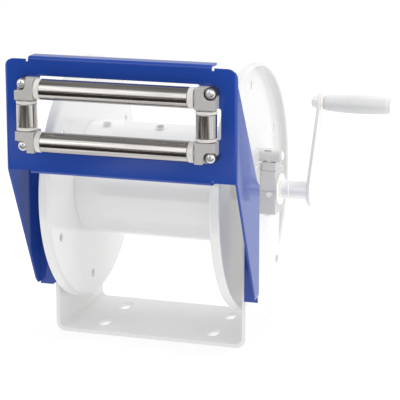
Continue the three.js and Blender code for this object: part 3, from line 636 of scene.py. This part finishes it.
class REEL_OT_stage(bpy.types.Operator):
    """Adds the camera, the pale floor and the soft studio light"""

    bl_idname = "reel.stage"
    bl_label = "Stage"

    def execute(self, context):
        stage = context.scene.reel_stage
        self.add_camera(context, stage)
        self.add_floor(stage)
        self.add_surround(context, stage)
        for softbox in SOFTBOXES:
            self.add_light(*softbox)
        return {"FINISHED"}

    def add_camera(self, context, stage):
        data = bpy.data.cameras.new("camera")
        data.lens = stage.lens
        data.sensor_width = 36.0
        data.clip_end = 200.0
        camera = bpy.data.objects.new("camera", data)
        context.scene.collection.objects.link(camera)
        level = math.cos(stage.elevation)
        away = Vector(
            (
                math.sin(stage.azimuth) * level,
                -math.cos(stage.azimuth) * level,
                math.sin(stage.elevation),
            )
        )
        camera.location = Vector(stage.aim) + away * stage.distance
        camera.rotation_euler = away.to_track_quat("Z", "Y").to_euler()
        context.scene.camera = camera
        context.scene.view_settings.view_transform = "Standard"

    def add_plane(self, name, low, high, z, material):
        form = bmesh.new()
        bmesh.ops.create_grid(form, x_segments=1, y_segments=1, size=0.5)
        size = Vector((high[0] - low[0], high[1] - low[1], 1))
        bmesh.ops.scale(form, vec=size, verts=form.verts)
        middle = Vector(((high[0] + low[0]) / 2, (high[1] + low[1]) / 2, z))
        bmesh.ops.translate(form, vec=middle, verts=form.verts)
        mesh = bpy.data.meshes.new(name)
        form.to_mesh(mesh)
        form.free()
        mesh.materials.append(material)
        plane = bpy.data.objects.new(name, mesh)
        bpy.context.scene.collection.objects.link(plane)
        return plane

    def add_floor(self, stage):
        half = stage.floor / 2
        paper = Finish("floor_paper", Roughness=0.9, Specular_IOR_Level=0.1)
        paper.set(
            Base_Color=(FLOOR_TONE, FLOOR_TONE, FLOOR_TONE, 1.0),
            Emission_Color=(1.0, 1.0, 1.0, 1.0),
            Emission_Strength=FLOOR_GLOW,
        )
        self.add_plane("floor", (-half, -half), (half, half), -FLOOR_DROP, paper.material)
        cloth = self.flag_cloth()
        flag = self.add_plane("flag", FLAG_LOW, FLAG_HIGH, FLAG_RISE, cloth.material)
        flag.visible_camera = False
        flag.visible_diffuse = False
        flag.visible_shadow = False

    def flag_cloth(self):
        """Black cloth with a row of pale strips across it, for the streaks in the short rollers."""
        cloth = Finish("flag_cloth", Roughness=1.0, Specular_IOR_Level=0.0)
        split = cloth.node("ShaderNodeSeparateXYZ", None, {"Vector": cloth.place})
        across = Value(cloth, split.outputs["X"])
        depth = Value(cloth, split.outputs["Y"])
        row = depth.above(-1.6, -1.5) * (1.0 - depth.above(-1.2, -1.1))
        row = row * across.above(-1.2, -0.9) * (1.0 - across.above(0.7, 0.9))
        strips = cloth.noise(3.2, 1.0, 0.5, (1, 0, 0)).above(0.42, 0.56) * 0.85 + 0.15
        cloth.set(Base_Color=cloth.mix(row * strips, FLAG_DARK, FLAG_PALE))
        return cloth

    def add_surround(self, context, stage):
        """A white surround; mirrors see a bright front panel and a dim ceiling in it."""
        world = bpy.data.worlds.new("surround")
        world.use_nodes = True
        context.scene.world = world
        sky = Surface(world.node_tree)
        split = sky.node("ShaderNodeSeparateXYZ")
        way = sky.node("ShaderNodeTexCoord").outputs["Generated"]
        sky.tree.links.new(way, split.inputs[0])
        up = Value(sky, split.outputs["Z"])
        back = Value(sky, split.outputs["Y"])
        ceiling = up.above(0.62, 0.80)
        front = back.above(-0.05, -0.45) * up.above(0.02, 0.10)
        bright = 0.62 + 1.15 * front * (1.0 - ceiling) - 0.34 * ceiling
        rays = sky.node("ShaderNodeLightPath")
        glossy = Value(sky, rays.outputs["Is Glossy Ray"])
        fill = stage.sky * (1.0 - 0.36 * back.above(0.1, -0.9))
        strength = glossy * bright + (1.0 - glossy) * fill
        light = sky.node(
            "ShaderNodeBackground", None, {"Color": (1, 1, 1, 1), "Strength": strength}
        )
        out = sky.node("ShaderNodeOutputWorld")
        sky.tree.links.new(light.outputs[0], out.inputs["Surface"])

    def add_light(self, name, place, aim, side, power):
        data = bpy.data.lights.new(name, "AREA")
        data.shape = "SQUARE"
        data.size = side
        data.energy = power
        light = bpy.data.objects.new(name, data)
        bpy.context.scene.collection.objects.link(light)
        light.location = place
        away = Vector(place) - Vector(aim)
        light.rotation_euler = away.to_track_quat("Z", "Y").to_euler()
        light.visible_glossy = False


# ---- Frame and drum ------------------------------------------------------


class REEL_OT_frame(bpy.types.Operator):
    """Finishes the bent base plate with its uprights"""

    bl_idname = "reel.frame"
    bl_label = "Frame"

    def execute(self, context):
        sizes = context.scene.reel_sizes
        eased_copy("frame", finish_named("pale_paint"), sizes.sheet_edge * 1.4, 3)
        return {"FINISHED"}


class REEL_OT_drum(bpy.types.Operator):
    """Turns the dished discs with their rolled rims, the drum and its screws"""

    bl_idname = "reel.drum"
    bl_label = "Drum"

    def execute(self, context):
        sizes = context.scene.reel_sizes
        paint = finish_named("pale_paint")
        for side, node in ((-1, "disc_left"), (1, "disc_right")):
            self.add_disc(node, side, paint, sizes)
        turned_sleeve("drum_barrel", paint, "x", sizes.sheet_edge, sizes.steps)
        for node in ("drum_screw_1", "drum_screw_2"):
            eased_copy(node, finish_named("zinc"), sizes.small_edge)
        return {"FINISHED"}

    def add_disc(self, node, side, paint, sizes):
        """Web, bend and rolled rim as one turned sheet with its ring of holes."""
        middle, radius, low, high = extent(node, "x")
        bore = inner_radius(node, "x")
        web, rim = (low, high) if side > 0 else (high, low)
        outline = self.disc_outline(bore, radius, abs(rim - web))
        placed = [(r, web + side * a) for r, a in outline]
        form = turned_form(placed, "x", middle, sizes.steps)
        piece = finished_piece(form, node + "_finished", node, paint)
        holes = []
        for i in range(DISC_HOLES):
            a = DISC_HOLE_TURN + FULL_TURN * i / DISC_HOLES
            out = Vector((web, DISC_HOLE_CIRCLE * math.cos(a), DISC_HOLE_CIRCLE * math.sin(a)))
            holes.append(drill(middle + out, DISC_HOLE, 6 * DISC_SHEET, "x"))
        carved(piece, holes)

    def disc_outline(self, bore, radius, depth):
        """Closed section of the sheet as (radius, place out from the web's inner face)."""
        arc = 8
        turn = radius - DISC_BEND
        flat_end = turn - DISC_FLAT
        profile = [(bore, 0.0), (flat_end, 0.0)]
        for i in range(arc + 1):
            a = math.pi / 2 * i / arc
            profile.append((turn + DISC_BEND * math.sin(a), DISC_BEND - DISC_BEND * math.cos(a)))
        for i in range(2 * arc + 1):
            a = 1.5 * math.pi * i / (2 * arc)
            out = depth - DISC_BEAD + DISC_BEAD * math.sin(a)
            profile.append((radius - DISC_BEAD + DISC_BEAD * math.cos(a), out))
        profile.append((radius - DISC_SHEET, depth - 2.5 * DISC_BEAD))
        inner = DISC_BEND - DISC_SHEET
        for i in range(arc + 1):
            a = math.pi / 2 * (1 - i / arc)
            profile.append((turn + inner * math.sin(a), DISC_BEND - inner * math.cos(a)))
        return profile + [(flat_end, DISC_SHEET), (bore, DISC_SHEET)]


class REEL_OT_shaft(bpy.types.Operator):
    """Turns the shaft's collars and washer and finishes the shaft and bushes"""

    bl_idname = "reel.shaft"
    bl_label = "Shaft"

    def execute(self, context):
        sizes = context.scene.reel_sizes
        zinc = finish_named("dull_zinc")
        for node in ("brake_thrust_washer", "shaft_collar_far_side"):
            turned_sleeve(node, zinc, "x", sizes.small_edge * 2, sizes.small_steps)
        eased_copy("shaft_collar_crank_side", zinc, sizes.small_edge)
        self.add_axle(zinc, sizes)
        recoat(("shaft_bush_left", "shaft_bush_right"), finish_named("bronze"))
        return {"FINISHED"}

    def add_axle(self, zinc, sizes):
        middle, radius, low, high = extent("axle", "x")
        form = turned_form(
            [(0.0, low), (radius, low), (radius, high), (0.0, high)], "x", middle, sizes.small_steps
        )
        round_edges(form, 1.0 * MM, 2)
        finished_piece(form, "axle_finished", "axle", zinc)


# ---- Crank ---------------------------------------------------------------


class REEL_OT_crank(bpy.types.Operator):
    """Finishes the crank arm, its hub, the grip and the grip's bolt"""

    bl_idname = "reel.crank"
    bl_label = "Crank"

    def execute(self, context):
        sizes = context.scene.reel_sizes
        zinc = finish_named("dull_zinc")
        eased_copy("crank_arm", finish_named("pale_paint"), sizes.block_edge, 3)
        self.add_hub(zinc, sizes)
        self.add_grip(sizes)
        eased_copy("grip_bolt", zinc, sizes.small_edge)
        turned_sleeve("grip_washer", zinc, "x", sizes.small_edge, sizes.small_steps)
        eased_copy("grip_nut", zinc, sizes.small_edge * 2)
        recoat(("hub_set_screw",), zinc)
        return {"FINISHED"}

    def add_hub(self, zinc, sizes):
        middle, radius, low, high = extent("crank_hub", "x")
        bore = extent("axle", "x")[1] + HUB_BORE_GAP
        profile = [(bore, low), (radius, low), (radius, high), (bore, high)]
        form = turned_form(profile, "x", middle, sizes.small_steps)
        round_edges(form, 0.8 * MM, 3)
        piece = finished_piece(form, "crank_hub_finished", "crank_hub", zinc)
        spot = middle + Vector(((low + high) / 2, radius, 0))
        carved(piece, [drill(spot, HUB_SCREW_HOLE, 2 * (radius - bore), "y")])

    def add_grip(self, sizes):
        """Barrel grip with a soft belly and rounded shoulders."""
        middle, radius, low, high = extent("grip", "x")
        bore = inner_radius("grip", "x")
        span = high - low
        start, end = (radius * share for share in GRIP_ENDS)
        profile = [(bore, low)]
        count = 40
        for i in range(count + 1):
            t = i / count
            straight = start + (end - start) * t
            belly = (radius - (start + end) / 2) * math.sin(math.pi * t)
            near_end = [max(0.0, 1 - u * GRIP_SHOULDER_RATE) ** 2 for u in (t, 1 - t)]
            shoulder = GRIP_SHOULDER * sum(near_end)
            profile.append((straight + belly - shoulder, low + span * t))
        profile.append((bore, high))
        form = turned_form(profile, "x", middle, sizes.small_steps)
        finished_piece(form, "grip_finished", "grip", finish_named("grip_plastic"))


# ---- Brake ---------------------------------------------------------------


class REEL_OT_brake(bpy.types.Operator):
    """Finishes the brake's blocks, pad, cam lever and bolts"""

    bl_idname = "reel.brake"
    bl_label = "Brake"

    blocks = ("brake_block_lower", "brake_block_upper", "brake_pressure_pad", "brake_cam_lever")
    bolts = (
        "brake_lock_screw",
        "brake_eyebolt",
        "brake_eyebolt_nut",
        "brake_rear_bolt",
        "brake_rear_nut",
        "brake_cam_pin",
    )

    def execute(self, context):
        sizes = context.scene.reel_sizes
        zinc = finish_named("dull_zinc")
        for node in self.blocks:
            eased_copy(node, finish_named("friction_grey"), sizes.small_edge)
        for node in self.bolts:
            eased_copy(node, zinc, sizes.small_edge)
        recoat(("brake_anchor_screw_1", "brake_anchor_screw_2"), zinc)
        return {"FINISHED"}


# ---- Guide bracket and rollers -------------------------------------------


class REEL_OT_bracket(bpy.types.Operator):
    """Finishes the blue guide bracket and its bolts"""

    bl_idname = "reel.bracket"
    bl_label = "Guide bracket"

    def execute(self, context):
        sizes = context.scene.reel_sizes
        eased_copy("guide_bracket", finish_named("blue_paint"), sizes.sheet_edge, 2)
        for node in sorted(NODES):
            if node.startswith("bracket_bolt"):
                eased_copy(node, finish_named("zinc"), sizes.small_edge * 2)
        return {"FINISHED"}


class REEL_OT_rollers(bpy.types.Operator):
    """Turns the roller tubes with their end caps"""

    bl_idname = "reel.rollers"
    bl_label = "Guide rollers"

    def execute(self, context):
        sizes = context.scene.reel_sizes
        for side, axis in (("top", "x"), ("bottom", "x"), ("left", "z"), ("right", "z")):
            name = side + "_roller"
            steel = finish_named("stainless_" + axis)
            turned_sleeve(name + "_tube", steel, axis, sizes.tube_lip, sizes.small_steps + 32)
            for end, way in (("a", -1), ("b", 1)):
                self.add_cap(f"{name}_cap_{end}", axis, way, sizes)
            recoat((name + "_pin",), finish_named("zinc"))
        return {"FINISHED"}

    def add_cap(self, node, axis, way, sizes):
        """End cap: a plug inside the tube, a rim as wide as the tube and a small boss."""
        middle, radius, low, high = extent(node, axis)
        bore = inner_radius(node, axis)
        plug = radius - CAP_WALL
        inside, outside = (low, high) if way > 0 else (high, low)
        face = inside + way * CAP_PLUG
        foot = outside - way * CAP_BOSS_RISE
        boss = CAP_BOSS_SHARE * radius
        profile = [
            (bore, inside),
            (plug, inside),
            (plug, face),
            (radius, face),
            (radius, foot),
            (boss, foot),
            (boss, outside),
            (bore, outside),
        ]
        form = turned_form(profile, axis, middle, sizes.small_steps)
        round_edges(form, sizes.cap_edge * 0.5, 3)
        finished_piece(form, node + "_finished", node, finish_named("nylon_white"))


class REEL_OT_corners(bpy.types.Operator):
    """Finishes the corner blocks and turns their cross-recess screws"""

    bl_idname = "reel.corners"
    bl_label = "Corner blocks"

    def execute(self, context):
        sizes = context.scene.reel_sizes
        for node in sorted(NODES):
            if node.startswith("corner_block"):
                eased_copy(node, finish_named("nylon_grey"), sizes.block_edge, 3)
            if node.startswith("corner_screw"):
                self.add_screw(node, sizes)
        return {"FINISHED"}

    def add_screw(self, node, sizes):
        """Pan head with a soft dome and a tapering cross, on its plain shank."""
        middle, head, front, back = extent(node, "y")
        seat = front + SCREW_HEAD_THICK
        profile = [(0.0, front)]
        arc = 10
        for i in range(1, arc + 1):
            a = math.pi / 2 * i / arc
            dome = 0.8 * SCREW_HEAD_THICK * (1 - math.cos(a))
            profile.append((head * math.sin(a) ** 0.8, front + dome))
        profile += [(head, seat), (SCREW_SHANK, seat), (SCREW_SHANK, back), (0.0, back)]
        form = turned_form(profile, "y", middle, sizes.small_steps)
        piece = finished_piece(form, node + "_finished", node, finish_named("screw_zinc"), 50)
        turn = Matrix.Rotation(math.radians(sum(map(ord, node)) % 60 - 30), 4, "Y")
        place = Matrix.Translation(middle + Vector((0, front, 0))) @ turn
        ways = ((CROSS_LONG, CROSS_WIDE), (CROSS_WIDE, CROSS_LONG))
        carved(piece, [self.cross_bar(place, head, *way) for way in ways])

    def cross_bar(self, place, head, wide, tall):
        """One bar of the cross recess, narrowing into the head."""
        bar = bmesh.new()
        for vert in bmesh.ops.create_cube(bar, size=2.0)["verts"]:
            taper = 1.0 if vert.co.y < 0 else CROSS_TAPER
            vert.co.x *= wide * head * taper
            vert.co.y *= CROSS_DEPTH
            vert.co.z *= tall * head * taper
        bmesh.ops.transform(bar, matrix=place, verts=bar.verts)
        return bar


class REEL_PT_panel(bpy.types.Panel):
    """Lists the reel's steps and values"""

    bl_label = "Hand-Crank Reel"
    bl_space_type = "VIEW_3D"
    bl_region_type = "UI"
    bl_category = "Reel"

    def draw(self, context):
        for operator in OPERATORS:
            self.layout.operator(operator.bl_idname)
        scene = context.scene
        for group in (scene.reel_sizes, scene.reel_colours, scene.reel_stage):
            box = self.layout.box()
            for name in group.__annotations__:
                box.prop(group, name)


OPERATORS = (
    REEL_OT_stage,
    REEL_OT_frame,
    REEL_OT_drum,
    REEL_OT_shaft,
    REEL_OT_crank,
    REEL_OT_brake,
    REEL_OT_bracket,
    REEL_OT_rollers,
    REEL_OT_corners,
)
GROUPS = {"reel_sizes": ReelSizes, "reel_colours": ReelColours, "reel_stage": ReelStage}


def register():
    for item in (*GROUPS.values(), *OPERATORS, REEL_PT_panel):
        bpy.utils.register_class(item)
    for name, group in GROUPS.items():
        setattr(bpy.types.Scene, name, PointerProperty(type=group))


def unregister():
    for name in GROUPS:
        delattr(bpy.types.Scene, name)
    for item in (REEL_PT_panel, *reversed(OPERATORS), *reversed(tuple(GROUPS.values()))):
        bpy.utils.unregister_class(item)


def main():
    register()
    for operator in OPERATORS:
        group, step = operator.bl_idname.split(".")
        getattr(getattr(bpy.ops, group), step)()


if __name__ == "__main__":
    main()
